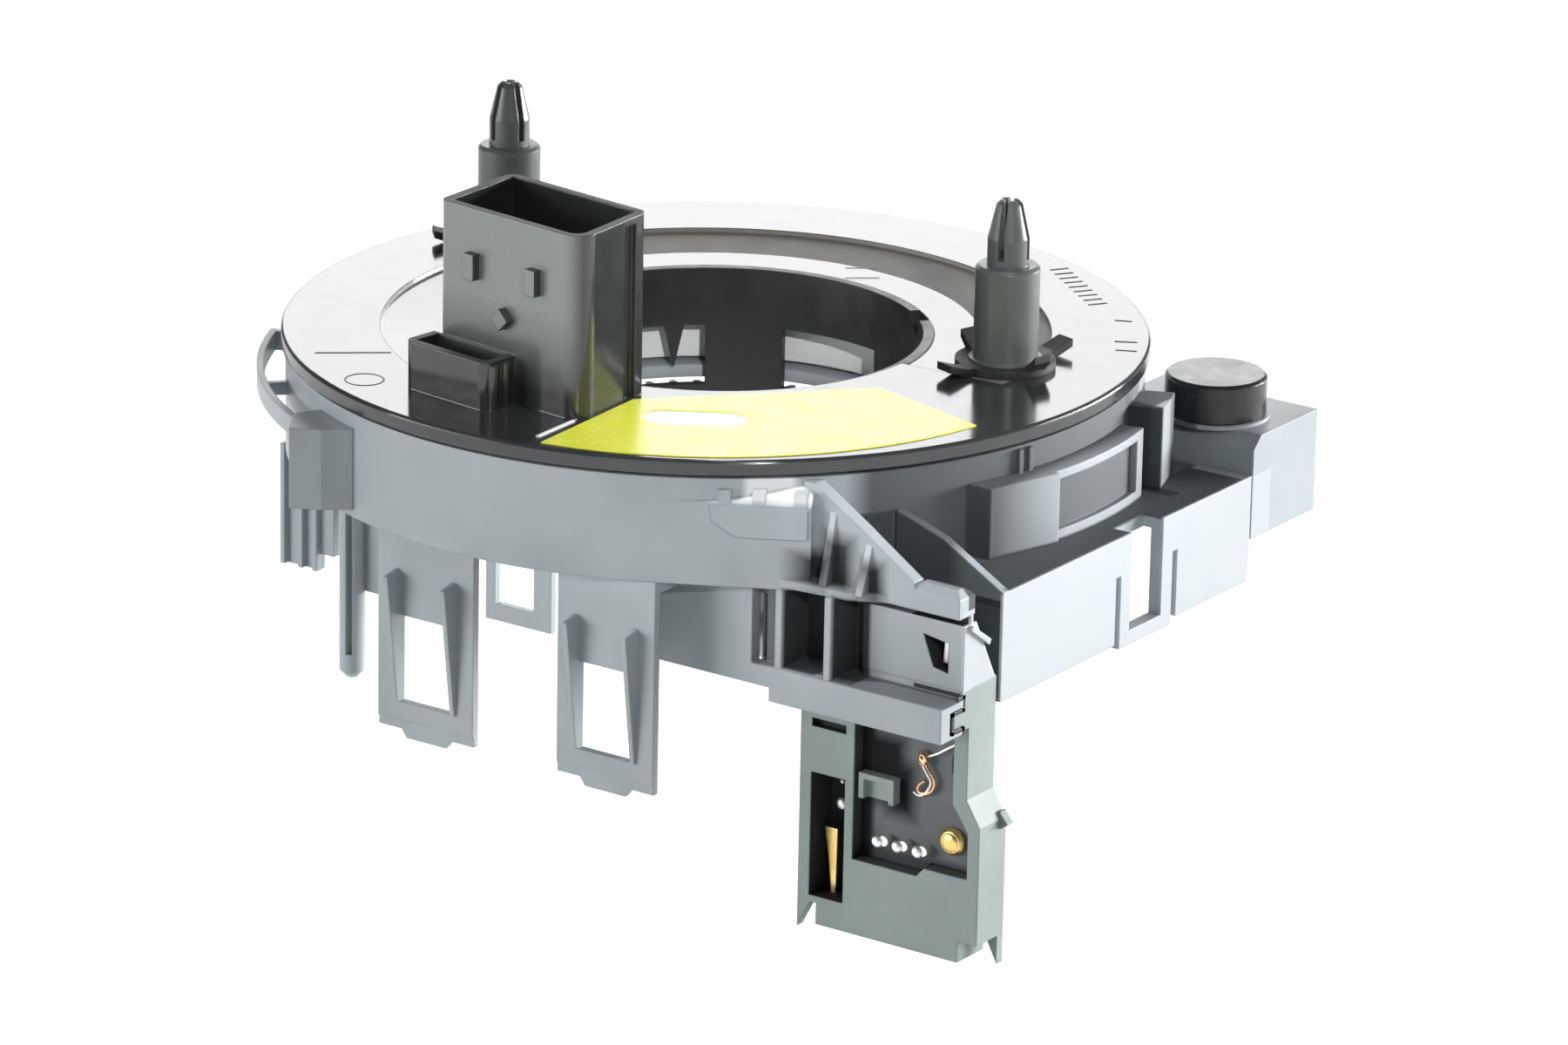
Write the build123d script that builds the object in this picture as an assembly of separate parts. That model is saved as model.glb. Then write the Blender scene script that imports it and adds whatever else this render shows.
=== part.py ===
from build123d import *
import math
import os

# Steering clock spring. The steering axis is Z, and z = 0 is the underside of the drum.
# +X points to the side with the flange box, -Y to the side with the two snap legs.

# Clearances between pieces, mm
running_gap = 0.35
rim_gap = 0.5
fit_gap = 0.15
shaft_gap = 0.05
tooth_gap = 0.24
joint_gap = 0.25

# Drum of the housing
drum_radius = 49.5
drum_wall = 1.6
drum_height = 12.25
floor_thickness = 1.5

# Turning disc
disc_overhang = 0.5
disc_rim_height = 1.75
disc_lip = 1.2
disc_plate = 1.6
dish_outer_radius = 38.7
dish_inner_radius = 30.4
dish_depth = 0.9
dish_start_angle = 2.0
dish_end_angle = 252.0

# Sleeve in the bore
bore_radius = 23.86
sleeve_wall = 1.24
sleeve_foot = -7.5
sleeve_top_drop = 0.5
sleeve_flange_width = 2.0
sleeve_flange_height = 1.0
window_top = 6.9
window_sill = -0.5
wide_window_angles = (74.0, 106.0)
spike_window_angles = (128.0, 147.0)
spike_angle = 137.0
spike_width = 2.4
spike_length = 5.2
key_angle = 50.0
key_width = 4.2
key_depth = 2.6

# Ring that the ribbon winds on, the ribbon and the ring it lies on
spool_wall = 1.8
spool_lift = 0.5
ribbon_thickness = 0.4
ribbon_pitch = 4.6
ribbon_turns = 3
ribbon_inner_radius = 31.6
ribbon_height = 8.6
guide_thickness = 0.7
guide_width = 16.6

# Connector tower on the disc, by its outer corners seen from above
tower_left = -12.2
tower_right = 9.4
tower_right_back = 8.7
tower_front = -36.6
tower_back = -23.2
tower_skew = 2.9
tower_height = 21.2
tower_wall = 1.0
tower_floor = 3.5
tower_corner = 1.2
tower_front_corner = 2.4
groove_width = 2.3
groove_depth = 0.6
groove_y = -29.4
groove_top_drop = 0.9
stud_width = 1.5
stud_height = 3.0
stud_length = 1.1
stud_spots = ((5.5, 14.7), (15.0, 14.9))
diamond_spot = (10.3, 9.6)
diamond_size = 2.6
terminal_width = 0.64
terminal_length = 8.0
terminal_pitch = 2.54
terminal_columns = 6
terminal_rows = 2

# Small slotted box in front of the tower, from the left end of the tower's front wall
pocket_box_left = -0.9
pocket_box_width = 12.8
pocket_box_depth = 4.7
pocket_box_height = 5.6
pocket_box_wall = 1.0
pocket_rib_radius = 0.6
pocket_rib_spots = (1.6, 3.4)

# Posts that stand on the disc
post_right_radius = 35.6
post_right_angle = 12.4
post_left_radius = 40.4
post_left_angle = 163.0
post_foot_radius = 4.2
post_foot_height = 1.1
post_barrel_radius = 3.7
post_barrel_height = 12.0
post_height = 19.6
post_neck_radius = 2.4
post_neck_height = 3.2
post_tip_radius = 1.5
post_slit_width = 0.7
post_pad_radius = 5.6
star_thickness = 0.9
star_rim = 1.5
star_arm_width = 2.4
star_arm_length = 9.0
star_arm_lift = 0.9
star_short_length = 6.6
star_short_lift = 1.9
star_turn = 73.0

# Label on the disc and the pale plate under its hole
label_thickness = 0.12
label_inset = 1.3
label_tip_inset = 3.6
label_tip_angles = (-77.9, -16.3)
label_back = ((9.2, -29.0), (28.5, -8.4))
slot_angle = -58.5
slot_inset = 14.6
slot_length = 12.0
slot_width = 5.2
index_thickness = 0.8

# Measuring gears under the drum
gear_module = 0.9
drive_teeth = 64
gear_a_teeth = 18
gear_b_teeth = 16
gear_a_angle = -2.0
gear_b_angle = -32.0
gear_height = 3.0
pressure_angle = 20.0
gear_pin_radius = 1.5
magnet_inner_radius = 1.9
magnet_outer_radius = 3.4
magnet_height = 0.8
clip_height = 1.2
clip_width = 1.9
clip_groove = 0.5
clip_mouth_angle = 24.0

# Base frame under the drum
base_plate = 1.4
base_plate_radius = 44.4
base_hole_radius = 30.6
frame_depth = 11.6
frame_wall = 1.6
flange_reach = 7.5
flange_half_width = 25.8
flange_top = 1.0
flange_plate = 1.5
snap_window_y = (0.4, 7.0)
snap_window_low = -10.6
snap_slit_y = (-2.6, 9.2)
snap_slit_width = 1.0
snap_slit_top = -3.6
snap_tongue_drop = 0.7
skirt_y = -37.5
skirt_left = 9.0
recess_left = 31.8
ledge_left = 34.4
ledge_top = -9.2
ledge_bottom = -13.2
block_y = -33.3
block_top_back = -31.0
block_back = -26.9
block_inset = 13.3
block_top = -0.7
block_bottom = -8.3
web_y = -25.8
web_thickness = 1.2
web_rise = (7.7, 5.6)
shelf_rib_places = (0.3, 6.8)
shelf_rib_width = 0.85
peep_window = ((-5.4, -2.6), (-2.0, -3.1), (-2.0, -6.6), (-4.0, -6.2))

# Snap legs
leg_y = -44.0
leg_thickness = 1.0
leg_depth = 25.0
leg_one = (-15.0, -1.6)
leg_two = (10.1, 23.3)
leg_window_width = 7.4
leg_window_top = -11.3
leg_window_bottom = -21.7
leg_rib_top = -5.8
leg_rib_reach = 2.3
leg_rib_width = 0.6
leg_lip = 1.0
leg_lip_width = 7.4
leg_step = 1.1
back_leg = (-41.8, -32.0)
back_leg_y = 12.0
back_leg_depth = 33.8
back_leg_window = (-40.4, -34.6, -31.7, -20.1)
peg_x = -29.6
peg_y = -30.0
peg_radius = 1.5
peg_depth = 26.5
tab_left = -39.6
tab_depth = 14.6

# Front bulge and sloped arm of the housing
bulge_angle = -62.0
bulge_length = 17.0
bulge_edge = 9.6
bulge_slope = 3.1
bulge_panel = ((5.7, 9.3), (6.0, 7.6), (8.6, 5.9), (16.6, 5.9), (16.6, 9.3))
bulge_tabs = (6.6, 10.4, 15.0)
arm_y = -34.4
arm_thickness = 1.8
arm_profile = ((0.6, 12.0), (2.0, 12.0), (8.9, 7.7), (15.4, 3.4), (15.8, 0.5))
shelf_front = -37.3
shelf_thickness = 0.9
shelf_top = 1.2
fin_places = (4.6, 9.4)
fin_width = 0.9
lump_left = -6.4
lump_depth = 3.0
lump_top = 3.4

# Blocks on the right of the drum
band_reach = 2.8
band_angles = (-17.0, 13.0)
band_corner = 2.0
band_flat = 8.0
band_side = 4.2
band_top = 9.2
panel_angles = (-7.5, 11.0)
panel_depth = 0.8
tall_rib_angles = (16.5, 23.5)
tall_rib_reach = 4.0
tall_rib_top = 10.6

# Cable clip on the left of the drum
clip_block = ((0.2, -109.4), (3.3, -111.2), (6.1, -113.7), (3.3, -118.5))
clip_low = 1.0
clip_top = 10.5
loop_end_angle = -155.0
loop_reach = 3.3
loop_wall = 0.8
loop_low = 7.6
loop_top = 9.9

# Sensor module below the ledge, with widths from the outer face of the flange
module_front = -31.5
module_back = -26.2
module_left = -22.5
module_right = 1.5
module_neck_right = -0.3
module_shoulder = (-21.5, -24.4)
module_depth = -40.8
module_notch = 2.5
module_skin = 1.2
tongue_front = -35.5
tongue_neck = -32.6
tongue_heights = (-13.0, -12.5, -10.3, -8.7)
blade_window = (-21.0, -16.4, -37.5, -22.8)
blade_window_depth = 4.2
module_slot = (-21.0, -16.4, -17.4, -16.4)
bay_outline = ((-15.3, -14.6), (-2.1, -14.6), (-2.1, -22.3), (0.0, -25.3), (0.0, -30.8),
               (-5.7, -30.8), (-6.7, -31.9), (-15.3, -31.9))
bay_depth = 2.6
board_thickness = 0.9
rivet_spot = (-2.9, -27.3)
rivet_radius = 1.6
contact_pin_radius = 0.6
contact_pin_spots = (-11.5, -8.9, -6.3)
contact_pin_z = -29.05
blade_x = -19.7
blade_top = -28.5
blade_width = 1.1
bracket_box = (-14.9, -10.2, -24.6, -21.6)
bracket_wall = 0.7
tail_spot = (-6.1, -17.2)
tail_radius = 0.3

# Rear platform with the round cap, with widths from the outer face of the flange
rear_left = -21.0
rear_back = 40.0
rear_bottom = -6.7
rear_top = 5.5
socket_box = (-10.5, -1.6, 28.0, 38.4)
socket_roof = 3.2
cap_spot = (-8.5, 31.2)
cap_radius = 5.9
cap_height = 5.0
cap_collar = 0.4

# Cover, board and screws of the gear chamber
cover_angles = (-48.0, 15.0)
cover_inner_radius = 26.2
cover_outer_radius = 47.6
cover_wall = 1.2
cover_bottom = -9.8
chamber_board_top = -6.2
screw_spots = ((-56.0, 36.5), (22.0, 36.5), (-19.0, 50.6))
screw_radius = 0.8
screw_head_radius = 1.9
screw_head_height = 1.1
screw_length = 6.0
screw_boss_radius = 2.7

# Sizes that follow from the ones above
disc_radius = drum_radius + disc_overhang
label_outer_radius = disc_radius - label_inset
slot_radius = disc_radius - slot_inset
flange_x = drum_radius + flange_reach
arm_root = math.sqrt(drum_radius ** 2 - arm_y ** 2)
skirt_root = -math.sqrt(base_hole_radius ** 2 - skirt_left ** 2)
block_left = flange_x - block_inset
tower_turn = -math.degrees(math.atan2(tower_skew, tower_right - tower_left))
disc_under = drum_height + rim_gap
disc_top = disc_under + disc_rim_height
inner_top = disc_top - 0.6
inner_under = inner_top - disc_plate
sleeve_radius = bore_radius + sleeve_wall
sleeve_top = disc_top - sleeve_top_drop
flange_radius = sleeve_radius + sleeve_flange_width
floor_hole_radius = sleeve_radius + running_gap
spool_inner_radius = flange_radius + fit_gap
spool_outer_radius = spool_inner_radius + spool_wall
gear_top = -base_plate - running_gap
gear_bottom = gear_top - gear_height
tower_top = disc_top + tower_height
module_top = block_bottom
shelf_under = shelf_top - shelf_thickness


def block(x0, x1, y0, y1, z0, z1):
    centre = ((x0 + x1) / 2, (y0 + y1) / 2, (z0 + z1) / 2)
    return Pos(*centre) * Box(x1 - x0, y1 - y0, z1 - z0)


def drum(radius, z0, z1, x=0.0, y=0.0):
    low = (Align.CENTER, Align.CENTER, Align.MIN)
    return Pos(x, y, z0) * Cylinder(radius, z1 - z0, align=low)


def turned(points, start=0.0, sweep=360.0):
    """Revolve a closed outline of (radius, height) points about the steering axis."""
    face = make_face(Plane.XZ * Polyline(*points, close=True))
    return Rot(0, 0, start) * revolve(face, axis=Axis.Z, revolution_arc=sweep)


def sector(r0, r1, a0, a1, z0, z1):
    return turned(((r0, z0), (r1, z0), (r1, z1), (r0, z1)), a0, a1 - a0)


def plate(points, z0, z1):
    """Extrude an outline seen from above between two heights."""
    face = make_face(Polyline(*points, close=True))
    return Pos(0, 0, z0) * extrude(face, z1 - z0, dir=(0, 0, 1))


def wall(points, y0, y1):
    """Extrude an outline seen from the front, as (x, z) points, between two depths."""
    face = make_face(Plane.XZ * Polyline(*points, close=True))
    return Pos(0, y0, 0) * extrude(face, y1 - y0, dir=(0, 1, 0))


def side(points, x0, x1):
    """Extrude an outline seen from the side, as (y, z) points, between two widths."""
    face = make_face(Plane.YZ * Polyline(*points, close=True))
    return Pos(x0, 0, 0) * extrude(face, x1 - x0, dir=(1, 0, 0))


def polar(radius, angle):
    turn = math.radians(angle)
    return radius * math.cos(turn), radius * math.sin(turn)


def write(name, shape):
    shape.label = name
    export_step(shape, os.path.join("parts", name + ".step"))


def rotor_disc():
    dish_top = inner_top - 0.3
    body = turned((
        (sleeve_radius + shaft_gap, inner_under),
        (dish_outer_radius, inner_under),
        (dish_outer_radius + 0.8, disc_top - disc_plate),
        (disc_radius - disc_lip, disc_top - disc_plate),
        (disc_radius - disc_lip, disc_under),
        (disc_radius, disc_under),
        (disc_radius, disc_top - 0.3),
        (disc_radius - 0.3, disc_top),
        (sleeve_radius + shaft_gap, disc_top)))
    dish = turned((
        (sleeve_radius - 1.0, disc_top + 1.0),
        (sleeve_radius - 1.0, inner_top),
        (dish_inner_radius, inner_top),
        (dish_inner_radius + 0.2, disc_top - dish_depth),
        (dish_outer_radius - 0.1, dish_top + 0.4),
        (dish_outer_radius, disc_top + 1.0)),
        dish_start_angle, dish_end_angle - dish_start_angle)
    body -= dish
    for radius, angle in ((post_right_radius, post_right_angle), (post_left_radius, post_left_angle)):
        x, y = polar(radius, angle)
        body += drum(post_pad_radius, inner_under, disc_top, x, y)

    body += tower() + pocket_box()
    well = index_well(fit_gap)
    return body - well


def on_tower_front(shape, along=0.0):
    """Place a shape on the turned front wall of the tower, with -Y as the way out."""
    return Pos(tower_left, tower_front, 0) * Rot(0, 0, tower_turn) * Pos(along, 0, 0) * shape


def tower():
    face = make_face(Polyline(
        (tower_left, tower_front),
        (tower_right, tower_front - tower_skew),
        (tower_right_back, tower_back - tower_skew),
        (tower_left, tower_back), close=True))
    face = fillet(face.vertices().sort_by(Axis.X)[:3], tower_corner)
    face = fillet(face.vertices().sort_by(Axis.X)[-1], tower_front_corner)
    body = Pos(0, 0, disc_top - 1.0) * extrude(face, tower_height + 1.0, dir=(0, 0, 1))
    hollow = extrude(offset(face, -tower_wall), tower_height, dir=(0, 0, 1))
    body -= Pos(0, 0, disc_top + tower_floor) * hollow
    body -= drum(sleeve_radius + shaft_gap, inner_under, sleeve_top + shaft_gap)
    body -= block(tower_right_back + 0.1 - groove_depth, tower_right + 1.0, groove_y - groove_width / 2,
                  groove_y + groove_width / 2, disc_top, tower_top - groove_top_drop)
    half = stud_width / 2
    for along, height in stud_spots:
        low = disc_top + height - stud_height / 2
        body += on_tower_front(block(-half, half, -stud_length, 0.1, low, low + stud_height), along)
    half = diamond_size / 2
    along, height = diamond_spot
    spot = disc_top + height
    diamond = wall(((-half, spot), (0.0, spot - half), (half, spot), (0.0, spot + half)), -stud_length, 0.1)
    return body + on_tower_front(diamond, along)


def pocket_box():
    right = pocket_box_left + pocket_box_width
    inside = pocket_box_wall
    body = block(pocket_box_left, right, -pocket_box_depth, 0.1, disc_top - 0.5, disc_top + pocket_box_height)
    body = fillet(body.edges().filter_by(Axis.Z).sort_by(Axis.Y)[:2], tower_corner)
    for out in pocket_rib_spots:
        body += drum(pocket_rib_radius, disc_top - 0.5, disc_top + pocket_box_height - 0.4, right, -out)
    body -= block(pocket_box_left + inside, right - inside, inside - pocket_box_depth, -0.2,
                  disc_top + inside, disc_top + pocket_box_height + 1.0)
    return on_tower_front(body)


def index_outline(margin):
    half = slot_length / 2 + margin
    return Rectangle(2 * half, slot_width + 2 * margin)


def index_place(z):
    x, y = polar(slot_radius, slot_angle)
    return Pos(x, y, z) * Rot(0, 0, slot_angle + 90.0)


def index_well(margin):
    return index_place(disc_top - index_thickness) * extrude(index_outline(margin), index_thickness + 1.0)


def index_window():
    return index_place(disc_top - index_thickness) * extrude(index_outline(0.0), index_thickness)


def instruction_label():
    left_tip = polar(label_outer_radius, label_tip_angles[0])
    right_tip = polar(disc_radius - label_tip_inset, label_tip_angles[1])
    middle = polar(label_outer_radius, sum(label_tip_angles) / 2)
    edges = Polyline(left_tip, *label_back, right_tip) + ThreePointArc(right_tip, middle, left_tip)
    sheet = extrude(make_face(edges), label_thickness)
    hole = extrude(SlotOverall(slot_length, slot_width), 3 * label_thickness)
    return Pos(0, 0, disc_top) * sheet - index_place(disc_top - label_thickness) * hole


def hub_sleeve():
    shoulder = inner_under - sleeve_flange_height
    groove = sleeve_radius - clip_groove
    body = turned((
        (bore_radius, sleeve_foot),
        (sleeve_radius, sleeve_foot),
        (sleeve_radius, gear_bottom - clip_height),
        (groove, gear_bottom - clip_height),
        (groove, gear_bottom),
        (sleeve_radius, gear_bottom),
        (sleeve_radius, shoulder),
        (flange_radius, shoulder),
        (flange_radius, inner_under),
        (sleeve_radius, inner_under),
        (sleeve_radius, sleeve_top),
        (bore_radius, sleeve_top)))
    inside = bore_radius - 1.0
    outside = sleeve_radius + 1.0
    for first, last in (wide_window_angles, spike_window_angles):
        body -= sector(inside, outside, first, last, window_sill, window_top)
    half = spike_width / 2
    spike = wall(((-half, window_top + 0.2), (0.0, window_top - spike_length), (half, window_top + 0.2)),
                 -sleeve_radius, -bore_radius)
    shell = sector(bore_radius, sleeve_radius, 0, 360, window_sill, window_top + 0.5)
    body += (Rot(0, 0, spike_angle + 90.0) * spike) & shell
    key = side(((-key_width / 2, sleeve_top + 0.1), (0.0, sleeve_top - key_depth),
                (key_width / 2, sleeve_top + 0.1)), inside, outside)
    return body - Rot(0, 0, key_angle) * key


def spool_ring():
    return sector(spool_inner_radius, spool_outer_radius, 0, 360,
                  floor_thickness + spool_lift, inner_under)


def spiral(radius):
    """Chain of half circles about two centres, which winds inward by one pitch each turn."""
    step = ribbon_pitch / 4
    arcs = []
    ends = []
    left = radius
    for number in range(2 * ribbon_turns):
        sign = 1 if number % 2 == 0 else -1
        size = radius + step + 2 * step * number
        centre = -sign * step
        start = (centre + sign * size, 0.0)
        top = (centre, sign * size)
        end = (centre - sign * size, 0.0)
        arcs.append(ThreePointArc(start, top, end))
        ends += [start, end]
    return arcs, ends[0], ends[-1]


def flat_cable():
    inner, inner_start, inner_end = spiral(ribbon_inner_radius)
    outer, outer_start, outer_end = spiral(ribbon_inner_radius + ribbon_thickness)
    edges = inner + outer + [Line(inner_start, outer_start), Line(inner_end, outer_end)]
    face = make_face(edges)
    return Pos(0, 0, floor_thickness + guide_thickness) * extrude(face, ribbon_height)


def cable_guide():
    inner = spool_outer_radius + running_gap
    ring = sector(inner, inner + guide_width, 0, 360, floor_thickness, floor_thickness + guide_thickness)
    return ring


def wheel_terminals():
    x = (tower_left + tower_right) / 2
    y = (tower_front + tower_back - tower_skew) / 2
    low = (Align.CENTER, Align.CENTER, Align.MIN)
    pin = Box(terminal_width, terminal_width, terminal_length, align=low)
    pin = chamfer(pin.faces().sort_by(Axis.Z)[-1].edges(), terminal_width / 4)
    spots = GridLocations(terminal_pitch, terminal_pitch, terminal_columns, terminal_rows)
    place = Pos(x, y, disc_top + tower_floor) * Rot(0, 0, tower_turn)
    return Compound(children=[place * spot * pin for spot in spots])


def post(radius, angle):
    foot = disc_top
    shoulder = foot + post_barrel_height
    tip = foot + post_height
    bend = shoulder + post_neck_height
    body = turned((
        (0.0, foot),
        (post_foot_radius, foot),
        (post_foot_radius, foot + post_foot_height),
        (post_barrel_radius, foot + post_foot_height),
        (post_barrel_radius, shoulder - 0.4),
        (post_barrel_radius - 0.4, shoulder),
        (post_neck_radius, shoulder),
        (post_neck_radius, bend),
        (post_tip_radius, tip - 0.5),
        (post_tip_radius - 0.5, tip),
        (0.0, tip)))
    for turn in (0.0, 90.0):
        slit = block(-2 * post_neck_radius, 2 * post_neck_radius, -post_slit_width / 2,
                     post_slit_width / 2, shoulder + 0.8, tip + 1.0)
        body -= Rot(0, 0, turn) * slit
    x, y = polar(radius, angle)
    return Pos(x, y, 0) * Rot(0, 0, angle) * body


def star():
    """Ring with two long arms, and between them two short ones that are bent up further."""
    inner = post_foot_radius + shaft_gap
    body = drum(inner + star_rim, 0.0, star_thickness) - drum(inner, -1.0, star_thickness + 1.0)
    long_arm = (inner + star_rim + 0.8, star_arm_length, star_arm_lift)
    short_arm = (inner + star_rim / 2, star_short_length, star_short_lift)
    for number in range(4):
        bend, length, lift = (long_arm, short_arm)[number % 2]
        arm = wall((
            (inner + 0.4, 0.0),
            (bend, 0.0),
            (length, lift),
            (length, lift + star_thickness),
            (bend - 0.3, star_thickness),
            (inner + 0.4, star_thickness)),
            -star_arm_width / 2, star_arm_width / 2)
        body += Rot(0, 0, 90.0 * number) * arm
    return body


def post_stars():
    stars = []
    for radius, angle in ((post_right_radius, post_right_angle), (post_left_radius, post_left_angle)):
        x, y = polar(radius, angle)
        stars.append(Pos(x, y, disc_top) * Rot(0, 0, star_turn + angle - post_right_angle) * star())
    return Compound(children=stars)


def gear(teeth, hole_radius, height):
    """Spur gear with involute flanks, one tooth on the X axis."""
    pitch = gear_module * teeth / 2
    base = pitch * math.cos(math.radians(pressure_angle))
    tip = pitch + gear_module
    root = pitch - 1.25 * gear_module
    turn = math.tan(math.radians(pressure_angle)) - math.radians(pressure_angle)
    half_tooth = math.pi / (2 * teeth) - tooth_gap / (4 * pitch)

    def flank(radius):
        roll = math.sqrt(max(radius ** 2 / base ** 2 - 1.0, 0.0))
        return half_tooth + turn - (roll - math.atan(roll))

    lowest = max(base, root + 0.05)
    radii = [lowest + (tip - lowest) * step / 2 for step in range(3)]
    tooth = [(root, flank(lowest))]
    tooth += [(radius, flank(radius)) for radius in radii]
    outline = []
    for number in range(teeth):
        middle = 2 * math.pi * number / teeth
        rising = [(radius, middle - angle) for radius, angle in tooth]
        falling = [(radius, middle + angle) for radius, angle in reversed(tooth)]
        outline += [(r * math.cos(a), r * math.sin(a)) for r, a in rising + falling]
    face = make_face(Polyline(*outline, close=True))
    return extrude(face, height) - drum(hole_radius, -1.0, height + 1.0)


def drive_gear():
    body = gear(drive_teeth, sleeve_radius + shaft_gap, gear_height)
    return Pos(0, 0, gear_bottom) * body


def gear_spot(teeth, angle):
    return polar(gear_module * (drive_teeth + teeth) / 2, angle)


def small_gear(teeth, angle):
    # The two gears mesh when a gap of the small one meets the tooth phase of the drive gear.
    x, y = gear_spot(teeth, angle)
    phase = angle + 180.0 + 180.0 / teeth + angle * drive_teeth / teeth
    body = gear(teeth, gear_pin_radius + shaft_gap, gear_height)
    return Pos(x, y, gear_bottom) * Rot(0, 0, phase) * body


def magnet(teeth, angle):
    x, y = gear_spot(teeth, angle)
    low = gear_bottom - magnet_height
    ring = drum(magnet_outer_radius, low, gear_bottom, x, y)
    return ring - drum(magnet_inner_radius, low - 1.0, gear_bottom + 1.0, x, y)


def sleeve_clip():
    inner = sleeve_radius - clip_groove + shaft_gap
    half = clip_mouth_angle / 2
    return sector(inner, inner + clip_width, 180.0 + half, 540.0 - half,
                  gear_bottom - clip_height, gear_bottom)


def from_flange(points):
    """Move an outline whose widths are measured from the outer face of the flange."""
    return [(flange_x + x, z) for x, z in points]


def shelf():
    """Flat shelf at the foot of the arm, which lies on the base frame."""
    arm_back = arm_y + arm_thickness
    outline = plate((
        (arm_root - 4.4, shelf_front + 1.0),
        (arm_root - 0.4, shelf_front),
        (block_left, shelf_front + 0.8),
        (block_left + 4.0, arm_y),
        (flange_x, arm_y),
        (flange_x, arm_y + lump_depth),
        (arm_root + arm_profile[2][0], arm_back + 1.0),
        (arm_root, arm_back)), shelf_under, shelf_top)
    return outline - drum(drum_radius - drum_wall / 2, shelf_under - 1.0, shelf_top + 1.0)


def bulge():
    """Flat swelling that leaves the drum at a tangent, with its own -Y as the way out."""
    back = 6.0 - drum_radius
    body = side((
        (back, 0.0),
        (-drum_radius, 0.0),
        (-drum_radius, bulge_edge),
        (bulge_slope - drum_radius, drum_height - 0.1),
        (back, drum_height - 0.1)), 0.0, bulge_length)
    body += wall(bulge_panel, -drum_radius - 0.45, 0.2 - drum_radius)
    for along in bulge_tabs:
        body += block(along, along + 1.5, -drum_radius, 1.6 - drum_radius, bulge_edge - 1.0, bulge_edge + 1.5)
    return Rot(0, 0, bulge_angle + 90.0) * body


def arm():
    profile = [(arm_root + x, z) for x, z in arm_profile]
    body = wall((*profile, (profile[0][0], shelf_top)), arm_y, arm_y + arm_thickness)
    lump = block(flange_x + lump_left, flange_x, arm_y, arm_y + lump_depth, shelf_top - 0.2, lump_top)
    body += chamfer(lump.faces().sort_by(Axis.Z)[-1].edges(), 0.9)
    for place in fin_places:
        x = arm_root + place
        steps = zip(profile[1:], profile[2:])
        top = next(z0 + (z1 - z0) * (x - x0) / (x1 - x0) for (x0, z0), (x1, z1) in steps if x0 <= x <= x1)
        body += side((
            (arm_y + 0.2, shelf_top - 0.2),
            (arm_y + 0.2, top - 0.3),
            (arm_y - 0.9, top / 2),
            (shelf_front + 0.9, shelf_top - 0.2)), x - fin_width / 2, x + fin_width / 2)
    return body


def band():
    """Raised band on the right of the drum, flat at its front end, with a sunk panel."""
    outer = drum_radius + band_reach
    first = band_angles[0]
    turn = math.radians(first)
    x, y = polar(outer, first)
    corner_x = x + band_corner * math.sin(turn)
    corner_y = y - band_corner * math.cos(turn)
    far_x = x - band_flat * math.sin(turn)
    far_y = y + band_flat * math.cos(turn)
    body = sector(drum_radius - drum_wall, outer, *band_angles, flange_top, band_top)
    body += plate((
        (corner_x - band_side, corner_y),
        (corner_x, corner_y),
        (far_x, far_y),
        (far_x - band_side - 2.0, far_y)), flange_top, band_top)
    return body - sector(outer - panel_depth, outer + 1.0, *panel_angles, flange_top + 1.2, band_top - 1.0)


def stator_housing():
    inside = drum_radius - drum_wall
    root = drum_radius - drum_wall / 2
    body = bulge() + arm() + shelf() + band()
    body += sector(root, drum_radius + tall_rib_reach, *tall_rib_angles, flange_top, tall_rib_top)
    for angle in (band_angles[0] + 4.6, band_angles[0] + 6.4):
        body += sector(root, drum_radius + 0.6, angle, angle + 0.7, band_top - 0.5, drum_height - 0.3)

    reach = drum_radius + loop_reach
    clip_start = clip_block[-1][1]
    middle = (loop_end_angle + clip_start) / 2
    seat = ((-drum_wall, clip_start), (-drum_wall, clip_block[0][1]))
    corners = [polar(drum_radius + out, angle) for out, angle in clip_block + seat]
    body += plate(corners, clip_low, clip_top)
    body += sector(reach - loop_wall, reach, loop_end_angle, clip_start + 1.0, loop_low, loop_top)
    body += sector(root, reach, loop_end_angle - 1.0, loop_end_angle + 0.1, loop_low, loop_top)
    body += sector(root, reach - 0.5, middle, middle + 1.0, loop_low, loop_top - 0.8)
    body -= drum(root, -1.0, drum_height + 1.0)
    return body + turned((
        (floor_hole_radius, 0.0),
        (drum_radius, 0.0),
        (drum_radius, drum_height),
        (inside, drum_height),
        (inside, floor_thickness),
        (floor_hole_radius, floor_thickness)))


def tongue(margin):
    """Step of the module under the ledge, as a (depth, height) outline with a gap around it."""
    low, step, ceiling, top = tongue_heights
    back = module_front + 0.2
    return (
        (back, low - margin),
        (tongue_neck - margin, low - margin),
        (tongue_neck - margin, step - margin),
        (tongue_front - margin, step - margin),
        (tongue_front - margin, ceiling + margin),
        (tongue_neck - margin, ceiling + margin),
        (tongue_neck - margin, top + margin),
        (back, top + margin))


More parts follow.
